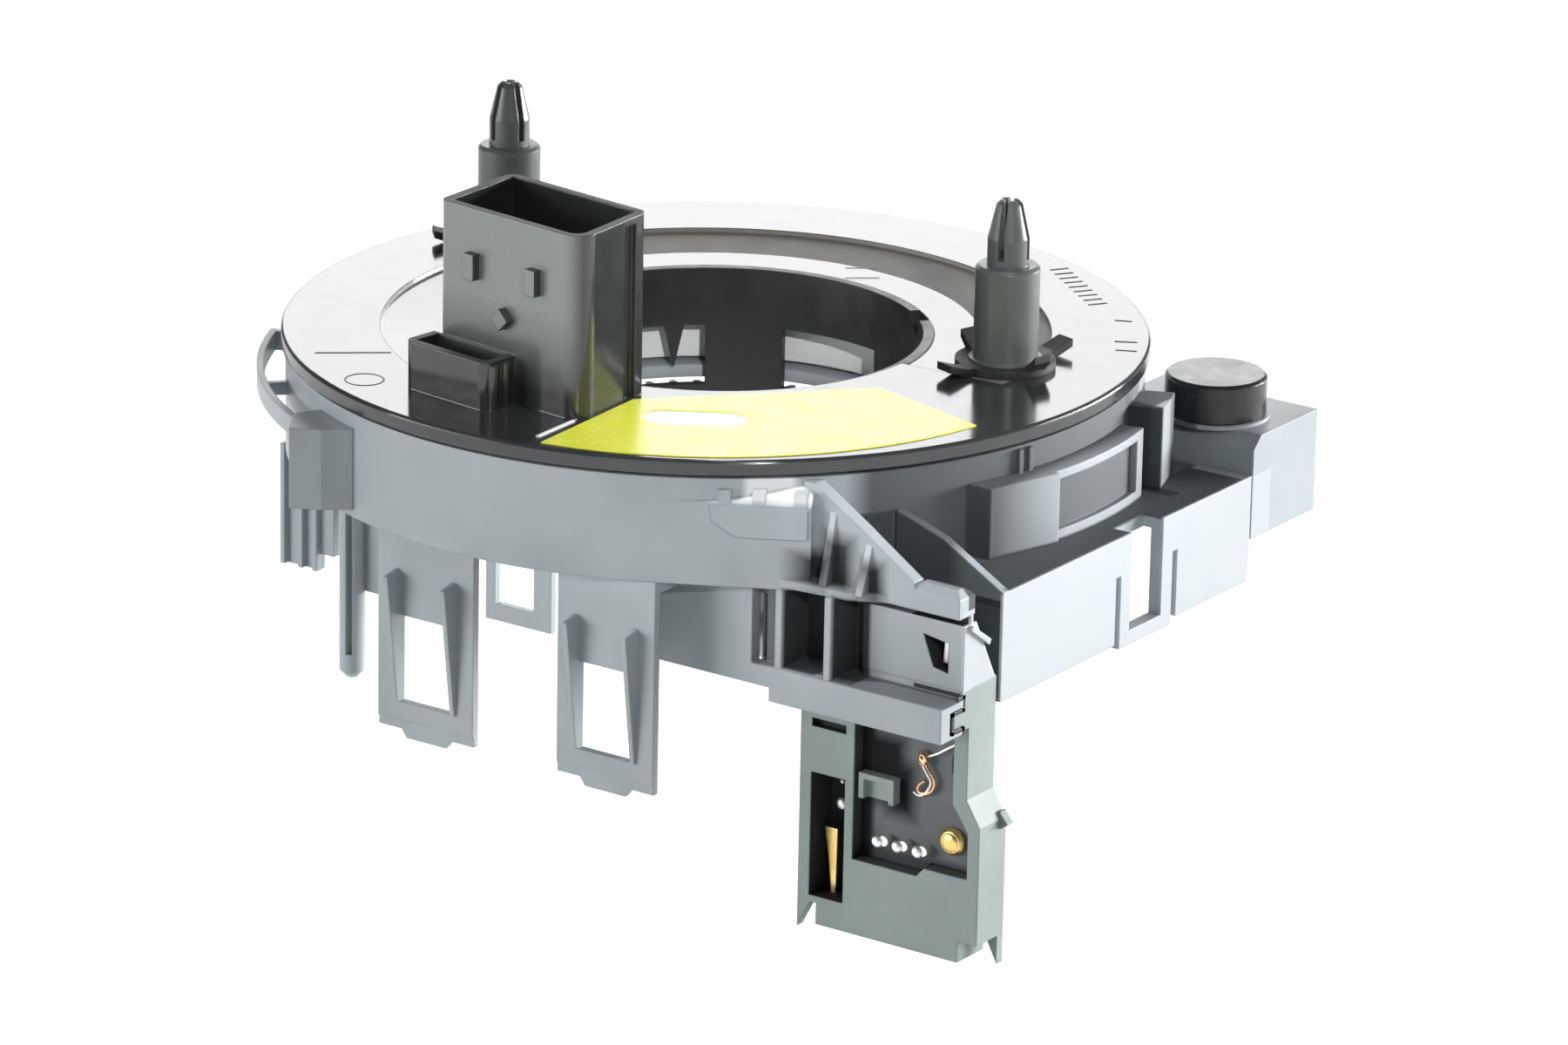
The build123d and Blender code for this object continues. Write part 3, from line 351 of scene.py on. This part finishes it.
def paint_light_and_shade(material, spots):
    """Paint boxes of painted shade and painted highlight into a finish: each spot is (low, high, soft
    margin, colour, strength).

    The darker the tone is, the rougher it is, so that painted shade in a corner does not shine.
    """
    nodes, links = material.node_tree.nodes, material.node_tree.links
    shader = principled(material)
    colour = shader.inputs["Base Color"].links[0].from_socket
    rough = shader.inputs["Roughness"].links[0].from_socket
    place = nodes.new("ShaderNodeTexCoord").outputs["Object"]
    for low, high, soft, tone, strength in spots:
        mask = product(nodes, links, box_mask(nodes, links, place, low, high, soft), strength)
        colour = blended(nodes, links, mask, colour, tone)
    links.new(colour, shader.inputs["Base Color"])
    tones = nodes.new("ShaderNodeSeparateColor")
    links.new(colour, tones.inputs[0])
    matt = calculate(nodes, links, "SUBTRACT", MATT_BLACK, tones.outputs["Green"])
    links.new(calculate(nodes, links, "MAXIMUM", rough, matt), shader.inputs["Roughness"])


# The turning disc: its dished band, a painted highlight on the far rim of that band and a painted
# reflection on the front of its tower

DISC_TOP = 14.5 * MM
DISH_INNER, DISH_OUTER = 30.5 * MM, 38.75 * MM
DISH_COLOUR = (0.185, 0.175, 0.150)
DISH_DEPTHS = DISC_TOP - 1.5 * MM, DISC_TOP - 0.1 * MM
DISH_DULL = 0.45
DISH_SLANT = 0.35
DISH_FADE = -6.0 * MM, 4.0 * MM
RIM_HIGHLIGHT_COLOUR = (0.62, 0.62, 0.61)
RIM_HIGHLIGHT_WIDTH = 0.5 * MM
RIM_HIGHLIGHT_FADE = 2.0 * MM, -8.0 * MM
TOWER_REFLECTION_GREY = (0.205, 0.228, 0.228)
TOWER_DULL = 0.16
TOWER_FACE = 38.25 * MM
TOWER_SLOPE = -0.134
TOWER_REFLECTION_FADE = DISC_TOP + 2.0 * MM, DISC_TOP + 12.0 * MM
TURNED_TO_FRONT = -0.6, -0.95
TURNED_UP = 0.4, 0.7
RIM_START = DISC_TOP + 3.5 * MM, DISC_TOP + 4.0 * MM
RIM_DULL = 0.5


def rotor_skin():
    """Gloss black moulding with a matt dished band, a painted highlight on the band's far rim and a painted
    reflection on the tower's front: grey at the top, fading to black towards the bottom.
    """
    material = solid("rotor_black", (0.026, 0.029, 0.030), (0.036, 0.040, 0.041), (0.10, 0.17),
                     grain=900.0, depth=GLOSS_GRAIN, ior=1.7)
    nodes, links = material.node_tree.nodes, material.node_tree.links
    shader = principled(material)
    colour = shader.inputs["Base Color"].links[0].from_socket
    rough = shader.inputs["Roughness"].links[0].from_socket
    coordinates = nodes.new("ShaderNodeTexCoord")
    place = nodes.new("ShaderNodeSeparateXYZ")
    links.new(coordinates.outputs["Object"], place.inputs[0])
    facing = nodes.new("ShaderNodeSeparateXYZ")
    links.new(coordinates.outputs["Normal"], facing.inputs[0])
    x, y, height = place.outputs
    squares = [product(nodes, links, value, value) for value in (x, y)]
    radius = calculate(nodes, links, "SQRT", calculate(nodes, links, "ADD", *squares), 0.0)

    in_band = between(nodes, links, radius, DISH_INNER, DISH_OUTER, 0.1 * MM)
    in_dish = between(nodes, links, height, *DISH_DEPTHS, 0.05 * MM)
    ring = product(nodes, links, in_band, in_dish)
    side = calculate(nodes, links, "ADD", y, product(nodes, links, x, DISH_SLANT))
    # The dish's taupe fades out by side over its left part, where the gloss black shows a reflection: a
    # split that follows the light
    dish = product(nodes, links, ring, ramp(nodes, links, side, *DISH_FADE))
    # Painted highlight: a light grey line along the band's far rim, on the side where the dish fades out
    at_rim = ramp(nodes, links, radius, DISH_OUTER - RIM_HIGHLIGHT_WIDTH, DISH_OUTER)
    far_rim_highlight = product(nodes, links, at_rim, ring, ramp(nodes, links, side, *RIM_HIGHLIGHT_FADE))

    raised = ramp(nodes, links, height, *RIM_START)
    rims = product(nodes, links, raised, ramp(nodes, links, facing.outputs["Z"], *TURNED_UP))
    # Painted reflection: grey on the tower's front faces, fading to black towards the bottom
    facing_front = ramp(nodes, links, facing.outputs["Y"], *TURNED_TO_FRONT)
    fade = ramp(nodes, links, height, *TOWER_REFLECTION_FADE)
    out = calculate(nodes, links, "SUBTRACT", product(nodes, links, x, TOWER_SLOPE), y)
    on_front = between(nodes, links, out, TOWER_FACE - 2.0 * MM, TOWER_FACE + 1.3 * MM, 0.5 * MM)
    tower = product(nodes, links, facing_front, fade, on_front)

    for mask, tone in ((dish, DISH_COLOUR), (far_rim_highlight, RIM_HIGHLIGHT_COLOUR), (tower, TOWER_REFLECTION_GREY)):
        colour = blended(nodes, links, mask, colour, tone)
    links.new(colour, shader.inputs["Base Color"])
    for mask, extra in ((dish, DISH_DULL), (tower, TOWER_DULL), (rims, RIM_DULL)):
        rough = calculate(nodes, links, "ADD", rough, product(nodes, links, mask, extra))
    links.new(rough, shader.inputs["Roughness"])
    return material


ROTOR = rotor_skin()
HOUSING = solid("housing_grey", (0.345, 0.390, 0.408), (0.440, 0.492, 0.512), (0.27, 0.35),
                mottle=60.0, depth=FINE_GRAIN)
MODULE = solid("module_grey", (0.245, 0.300, 0.290), (0.320, 0.385, 0.370), (0.46, 0.54),
               mottle=70.0, depth=FINE_GRAIN)
SLEEVE = solid("matt_black", (0.010, 0.012, 0.012), (0.016, 0.018, 0.018), (0.35, 0.5))
POST = solid("post_grey", (0.075, 0.085, 0.086), (0.105, 0.118, 0.120), (0.28, 0.42))
STAR = solid("spring_black", (0.010, 0.011, 0.012), (0.020, 0.021, 0.022), (0.50, 0.65))
PALE = solid("pale_plastic", (0.82, 0.84, 0.83), (0.88, 0.90, 0.89), (0.30, 0.45))
BOARD = solid("board_grey", (0.130, 0.142, 0.148), (0.190, 0.205, 0.212), (0.30, 0.5),
              mottle=160.0, mirror=0.1)
GREEN = solid("board_green", (0.015, 0.10, 0.05), (0.02, 0.13, 0.065), (0.30, 0.5))
CAP = solid("cap_black", (0.020, 0.023, 0.026), (0.030, 0.033, 0.037), (0.22, 0.34))
RIBBON = solid("ribbon", (0.55, 0.50, 0.36), (0.62, 0.57, 0.42), (0.2, 0.35))
BRASS = metal("brass", (0.72, 0.50, 0.16), (0.86, 0.66, 0.28), (0.24, 0.38))
COPPER = metal("copper", (0.75, 0.38, 0.20), (0.85, 0.50, 0.30), (0.15, 0.3))
TIN = metal("tin", (0.75, 0.75, 0.74), (0.88, 0.88, 0.87), (0.44, 0.56))
STEEL = metal("steel", (0.42, 0.43, 0.44), (0.55, 0.56, 0.57), (0.22, 0.4), mottle=300.0)
LABEL = solid("label_yellow", (0.88, 0.92, 0.06), (0.94, 0.97, 0.09), (0.22, 0.32), edge=0.0)

# Tones of painted shade and painted highlight, for the boxes painted into the finishes below
SHADE_BLACK = (0.012, 0.014, 0.016)
SHADE_GREY = (0.060, 0.068, 0.074)
HIGHLIGHT_GREY = (0.50, 0.545, 0.565)
HIGHLIGHT_WHITE = (0.86, 0.88, 0.89)

paint_light_and_shade(HOUSING, (
    # painted shade in the recesses between the posts of the joint block
    ((34.9, -36.5, -9.1), (39.4, -31.9, 0.2), 0.5, SHADE_BLACK, 0.95),
    ((42.0, -36.5, -9.1), (44.4, -31.9, 0.2), 0.5, SHADE_BLACK, 0.95),
    ((31.9, -37.6, -9.0), (34.3, -30.0, -0.2), 0.2, SHADE_BLACK, 0.6),
    # shade beside the two fins of the arm
    ((40.5, -34.8, 1.0), (41.8, -34.0, 5.4), 2.2, SHADE_BLACK, 0.95),
    ((45.2, -34.8, 1.0), (46.0, -34.0, 3.6), 1.8, SHADE_BLACK, 0.95),
    ((36.6, -35.8, 1.0), (39.8, -34.0, 3.5), 1.6, SHADE_BLACK, 0.95),
    # painted shade in the gap between the arm and the flange box
    ((36.0, -32.5, -0.5), (57.2, -25.9, 7.4), 0.3, SHADE_BLACK, 0.9),
    ((50.0, -27.0, -11.7), (57.1, -25.75, 0.0), 0.2, SHADE_BLACK, 0.9),
    # painted shade on the drum wall over the flange box, with its panel, block and rib, and on the lid of
    # the box
    ((45.0, -17.4, 1.0), (49.6, -17.05, 9.1), 0.1, SHADE_BLACK, 0.9),
    ((38.5, -28.0, 0.9), (49.7, 14.0, 12.3), 2.5, SHADE_GREY, 0.9),
    ((49.6, -6.6, 2.3), (51.75, 9.7, 8.1), 0.15, SHADE_GREY, 0.85),
    ((49.6, -25.0, 0.9), (56.6, 24.0, 1.1), 0.3, SHADE_GREY, 0.95),
    ((46.0, 13.0, 1.0), (49.7, 25.0, 12.0), 0.5, SHADE_GREY, 0.8),
    ((47.0, 14.0, 1.0), (53.6, 15.6, 10.7), 0.2, SHADE_BLACK, 0.8),
    # painted shade along the seams of the joint block, inside its peep window, and along the top of the
    # ledge
    ((50.0, -33.25, -0.78), (57.3, -31.0, 0.35), 0.05, SHADE_BLACK, 0.95),
    ((50.5, -33.6, -9.05), (56.9, -33.2, -8.6), 0.05, SHADE_BLACK, 0.95),
    ((51.4, -33.15, -6.8), (55.1, -29.0, -2.4), 0.05, SHADE_BLACK, 0.95),
    ((42.0, -37.2, -9.3), (57.0, -33.2, -9.1), 0.1, SHADE_GREY, 0.55),
    # painted highlight on the front of the flange box and on the shelf over the arm
    ((56.75, -33.5, -13.0), (57.6, 30.0, 0.85), 0.12, HIGHLIGHT_GREY, 0.95),
    ((31.5, -46.0, 10.3), (38.0, -35.0, 12.3), 0.7, HIGHLIGHT_WHITE, 0.9)))
paint_light_and_shade(MODULE, (
    # painted shade on the left and lower walls of the recess
    ((41.6, -31.3, -31.9), (41.8, -28.8, -14.5), 0.06, SHADE_BLACK, 0.9),
    ((41.6, -31.3, -32.1), (57.0, -28.8, -30.7), 0.06, SHADE_BLACK, 0.7),
    # painted shade inside the tall window and inside the slot above it
    ((35.9, -31.35, -37.6), (40.7, -27.2, -22.7), 0.05, SHADE_BLACK, 0.97),
    ((35.9, -31.40, -17.5), (40.7, -30.4, -16.3), 0.05, SHADE_BLACK, 0.97)))
paint_light_and_shade(BOARD, (
    # shade along the left wall, under the bracket and along the lower wall
    ((41.0, -31.0, -32.5), (42.9, -28.0, -14.0), 0.8, SHADE_BLACK, 0.95),
    ((43.4, -31.0, -24.0), (46.4, -28.0, -18.0), 2.2, SHADE_BLACK, 1.0),
    ((46.4, -31.0, -25.0), (47.6, -28.0, -21.0), 2.2, SHADE_BLACK, 1.0),
    ((41.0, -31.0, -32.5), (57.0, -28.0, -30.6), 1.0, SHADE_BLACK, 0.7)))


def dress(material, *names):
    for name in names:
        mesh = NODES[name].data
        mesh.materials.clear()
        mesh.materials.append(material)


dress(HOUSING, "stator_housing", "base_frame", "gear_cover", "rear_block")
dress(MODULE, "module_case", "board_bracket")
dress(BOARD, "module_board")
dress(GREEN, "sensor_board")
dress(ROTOR, "rotor_disc")
dress(SLEEVE, "hub_sleeve")
dress(POST, "post_right", "post_left")
dress(STAR, "post_stars")
dress(PALE, "spool_ring", "cable_guide", "drive_gear", "gear_a", "gear_b", "index_window")
dress(CAP, "round_cap")
dress(RIBBON, "flat_cable")
dress(BRASS, "contact_blade", "contact_rivet")
dress(COPPER, "lead_tail")
dress(TIN, "contact_pins", "wheel_terminals", "harness_terminals")
dress(STEEL, "sleeve_clip", "case_screws", "magnet_a", "magnet_b")
dress(LABEL, "instruction_label")


# Small details as pieces of their own, in millimetres

def own_piece(piece, body):
    bpy.context.scene.collection.objects.link(piece)
    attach(piece, body)
    return piece


def add_piece(name, shape, material, body):
    """Turn a bmesh in millimetres into a piece that rides a body."""
    mesh = bpy.data.meshes.new(name)
    bmesh.ops.scale(shape, vec=(MM, MM, MM), verts=shape.verts)
    bmesh.ops.recalc_face_normals(shape, faces=shape.faces)
    shape.to_mesh(mesh)
    shape.free()
    mesh.materials.append(material)
    return own_piece(bpy.data.objects.new(name, mesh), body)


def prism(shape, outline, reach):
    """Closed solid over a flat outline of 3-D points, as thick as the reach vector."""
    near = [shape.verts.new(point) for point in outline]
    far = [shape.verts.new(Vector(point) + Vector(reach)) for point in outline]
    shape.faces.new(near)
    shape.faces.new(list(reversed(far)))
    for number in range(len(near)):
        after = (number + 1) % len(near)
        shape.faces.new((near[number], far[number], far[after], near[after]))


def ridge(shape, start, end, width, height):
    """Low bar with sloped flanks on a flat top face, between two points."""
    start, end = Vector(start), Vector(end)
    across = (end - start).cross(Vector((0.0, 0.0, 1.0))).normalized()
    low, high = across * width / 2, across * width / 4
    lift = Vector((0.0, 0.0, height))
    section = (start - low, start + low, start + high + lift, start - high + lift)
    prism(shape, section, end - start)


def dome(shape, centre, radius, height, segments=20, rings=5):
    """Round head that stands out from a wall along -Y."""
    centre = Vector(centre)
    loops = []
    for ring in range(rings):
        rise = math.pi / 2 * ring / rings
        size, out = radius * math.cos(rise), height * math.sin(rise)
        turns = [2 * math.pi * step / segments for step in range(segments)]
        loops.append([shape.verts.new(centre + Vector((size * math.cos(turn), -out, size * math.sin(turn))))
                      for turn in turns])
    tip = shape.verts.new(centre + Vector((0.0, -height, 0.0)))
    for lower, upper in zip(loops, loops[1:]):
        for step in range(segments):
            after = (step + 1) % segments
            shape.faces.new((lower[step], lower[after], upper[after], upper[step]))
    for step in range(segments):
        shape.faces.new((loops[-1][step], loops[-1][(step + 1) % segments], tip))
    for face in shape.faces:
        face.smooth = len(face.verts) < 5
    shape.faces.new(list(reversed(loops[0])))


def wire(name, paths, radius, material, body):
    """Thin round strands along smooth lines through the given points."""
    data = bpy.data.curves.new(name, "CURVE")
    data.dimensions = "3D"
    data.bevel_depth = radius * MM
    data.bevel_resolution = 3
    data.resolution_u = 6
    data.use_fill_caps = True
    for path in paths:
        line = data.splines.new("NURBS")
        line.points.add(len(path) - 1)
        line.order_u = 3
        line.use_endpoint_u = True
        for point, place in zip(line.points, path):
            point.co = (*(value * MM for value in place), 1.0)
    data.materials.append(material)
    return own_piece(bpy.data.objects.new(name, data), body)


# Tangle of thin wire at the top of the module's recess

BOARD_Y = -29.8
KNOT = Vector((50.2, BOARD_Y - 0.8, -18.2))
COPPER_RADIUS, STRAND_RADIUS = 0.17, 0.13
KNOT_STEPS = 6
CURL = ((0.0, 0.2, -0.5), (0.9, 0.0, -1.4), (1.6, 0.1, -2.3), (1.4, 0.2, -3.6), (0.3, 0.2, -4.4),
        (-0.9, 0.3, -4.2), (-0.5, 0.2, -3.2), (0.3, 0.1, -2.7))
LEAD_IN = ((0.2, 0.0, 0.1), (1.6, 0.1, 0.6), (3.2, 0.3, 1.8), (4.6, 0.5, 2.6))
BARE_END = ((-0.2, -0.1, -0.4), (0.6, -0.2, -1.6), (1.3, 0.0, -2.6), (0.6, 0.2, -3.9),
            (-0.5, 0.3, -4.9), (-1.3, 0.3, -4.4))


def from_knot(steps):
    return [KNOT + Vector(step) for step in steps]


def knot_path(turns, size, lean):
    """A strand wound loosely round the knot's centre."""
    steps = []
    for step in range(turns * KNOT_STEPS):
        turn = 2 * math.pi * step / KNOT_STEPS
        swing = size * (0.75 + 0.25 * math.sin(1.7 * step + lean))
        steps.append((swing * math.cos(turn + lean), 0.45 * math.sin(0.9 * step + lean),
                      swing * math.sin(turn)))
    return from_knot(steps)


def lead_knot():
    copper = wire("lead_knot", [knot_path(3, 0.8, 0.0), knot_path(2, 0.65, 1.3), from_knot(CURL)],
                  COPPER_RADIUS, COPPER, "housing")
    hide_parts("lead_tail")
    wire("lead_strand", [from_knot(LEAD_IN), from_knot(BARE_END)], STRAND_RADIUS, TIN, "housing")


# Metal of the module and of the joint block, tin beads as painted highlights on the blade, and black plates
# as painted shade in the board's slots and along the joint

PIN_HEADS = tuple(((x, BOARD_Y - 1.1, -29.25), 0.72, 0.55) for x in (44.7, 47.37, 50.04))
RIVET_HEAD = ((54.1, BOARD_Y - 0.8, -27.3), 1.15, 0.35, 28)
# Tin beads on the brass blade: painted highlights where the blade's rivet glints
BLADE_GLINT_BEADS = (((38.4, -28.6, -26.9), 0.75, 0.6), ((38.2, -28.4, -24.4), 0.3, 0.3, 12))
BLADE_REACH = (0.0, 0.35, 0.0)
BLADE = ((36.6, -29.4, -29.8), (38.3, -29.4, -29.8), (38.2, -29.4, -37.55), (37.6, -29.4, -37.55),
         (37.2, -29.4, -33.5))
PEEP_REACH = (0.0, 0.5, 0.0)
PEEP_BLADE = ((53.4, -31.9, -6.0), (54.0, -31.9, -6.0), (54.1, -31.9, -3.6), (53.6, -31.9, -3.3))
SIDE_BAR_REACH = (0.45, 0.0, 0.0)
SIDE_BAR = ((57.0, -32.6, -1.3), (57.0, -32.3, -0.8), (57.0, -28.6, -3.3), (57.0, -28.9, -3.9))
SLOT_REACH = (0.0, -0.06, 0.0)
# Black plates on the board: painted shade where its slots are
BOARD_SLOT_SHADES = (
    ((53.6, BOARD_Y, -17.4), (54.4, BOARD_Y, -17.4), (54.4, BOARD_Y, -19.4), (53.9, BOARD_Y, -19.7),
     (53.6, BOARD_Y, -19.4)),
    ((50.9, BOARD_Y, -15.2), (51.6, BOARD_Y, -15.1), (51.5, BOARD_Y, -15.8)))
# Black strips along the stepped joint: painted shadow in its gap
JOINT_X, JOINT_HALF, JOINT_REACH = 56.74, 0.24, (0.27, 0.0, 0.0)
JOINT_SHADOW_PATH = ((-34.0, -8.9), (-33.0, -8.9), (-33.0, -10.4), (-35.1, -10.4), (-35.1, -12.6),
              (-33.0, -12.6), (-33.0, -13.1))


def domes(name, material, slot, *heads):
    """One piece of round heads on the housing.

    Each is (centre, radius, height), and a number of segments where it isn't dome()'s own.
    """
    shape = bmesh.new()
    for head in heads:
        dome(shape, *head)
    return add_piece(name, shape, material, "housing")


def plates(name, material, slot, reach, *outlines):
    """One piece of flat plates on the housing, all as thick as the reach vector."""
    shape = bmesh.new()
    for outline in outlines:
        prism(shape, outline, reach)
    return add_piece(name, shape, material, "housing")


def module_details():
    domes("pin_heads", TIN, "tinned", *PIN_HEADS)
    domes("rivet_head", BRASS, "brass", RIVET_HEAD)
    # painted highlight: tin beads where the blade's rivet glints
    domes("blade_glint", TIN, "tinned", *BLADE_GLINT_BEADS)
    blade = plates("blade_strip", BRASS, "brass", BLADE_REACH, BLADE)
    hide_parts("contact_blade")
    plates("peep_blade", TIN, "tinned", PEEP_REACH, PEEP_BLADE)
    plates("side_bar", HOUSING, "housing_grey", SIDE_BAR_REACH, SIDE_BAR)
    # painted shade: black plates over the board's slots
    plates("board_slot_shades", CAP, "black", SLOT_REACH, *BOARD_SLOT_SHADES)


def joint_shadow():
    """Painted shadow: black strips laid in the stepped joint at the right end of the ledge."""
    outlines = []
    for (y0, z0), (y1, z1) in zip(JOINT_SHADOW_PATH, JOINT_SHADOW_PATH[1:]):
        low_y, high_y = min(y0, y1) - JOINT_HALF, max(y0, y1) + JOINT_HALF
        low_z, high_z = min(z0, z1) - JOINT_HALF, max(z0, z1) + JOINT_HALF
        outlines.append(((JOINT_X, low_y, low_z), (JOINT_X, high_y, low_z),
                         (JOINT_X, high_y, high_z), (JOINT_X, low_y, high_z)))
    plates("joint_shadow", CAP, "black", JOINT_REACH, *outlines)


# Raised line beside the label, pale as a painted highlight, and mould marks on the disc

LABEL_RIDGE = ((8.7, -46.2), (8.5, -39.3))
LABEL_RIDGE_SIZE = (0.6, 0.2)
MARK_SIZE = (0.35, 0.06)
MARK_LINES = (((-29.4, -37.2), (-22.7, -31.8)), ((-0.8, 27.4), (2.4, 30.0)),
              ((35.4, 29.8), (37.2, 30.6)), ((39.8, 22.9), (42.0, 24.2)),
              ((41.6, 20.2), (43.8, 21.3)))
HATCH_COUNT = 9
HATCH_SIZE = (0.4, 0.06)
HATCH_START, HATCH_RUN, HATCH_STROKE = (18.6, 41.9), (11.1, -8.9), (1.3, 1.9)
CIRCLE_CENTRE, CIRCLE_RADIUS, CIRCLE_STEPS = (-18.9, -41.6), 2.2, 16
CIRCLE_SIZE = (0.22, 0.05)


def rotor_details():
    top = DISC_TOP / MM
    shape = bmesh.new()
    start, end = LABEL_RIDGE
    ridge(shape, (*start, top), (*end, top), *LABEL_RIDGE_SIZE)
    # pale ridge, its colour a painted highlight along the label's edge
    add_piece("label_ridge_highlight", shape, PALE, "rotor")
    shape = bmesh.new()
    for start, end in MARK_LINES:
        ridge(shape, (*start, top), (*end, top), *MARK_SIZE)
    for number in range(HATCH_COUNT):
        share = number / (HATCH_COUNT - 1)
        x, y = (first + share * run for first, run in zip(HATCH_START, HATCH_RUN))
        ridge(shape, (x, y, top), (x + HATCH_STROKE[0], y + HATCH_STROKE[1], top), *HATCH_SIZE)
    turns = [2 * math.pi * step / CIRCLE_STEPS for step in range(CIRCLE_STEPS + 1)]
    corners = [(CIRCLE_CENTRE[0] + CIRCLE_RADIUS * math.cos(turn),
                CIRCLE_CENTRE[1] + CIRCLE_RADIUS * math.sin(turn), top) for turn in turns]
    for start, end in zip(corners, corners[1:]):
        ridge(shape, start, end, *CIRCLE_SIZE)
    add_piece("mould_marks", shape, POST, "rotor")


lead_knot()
module_details()
joint_shadow()
rotor_details()
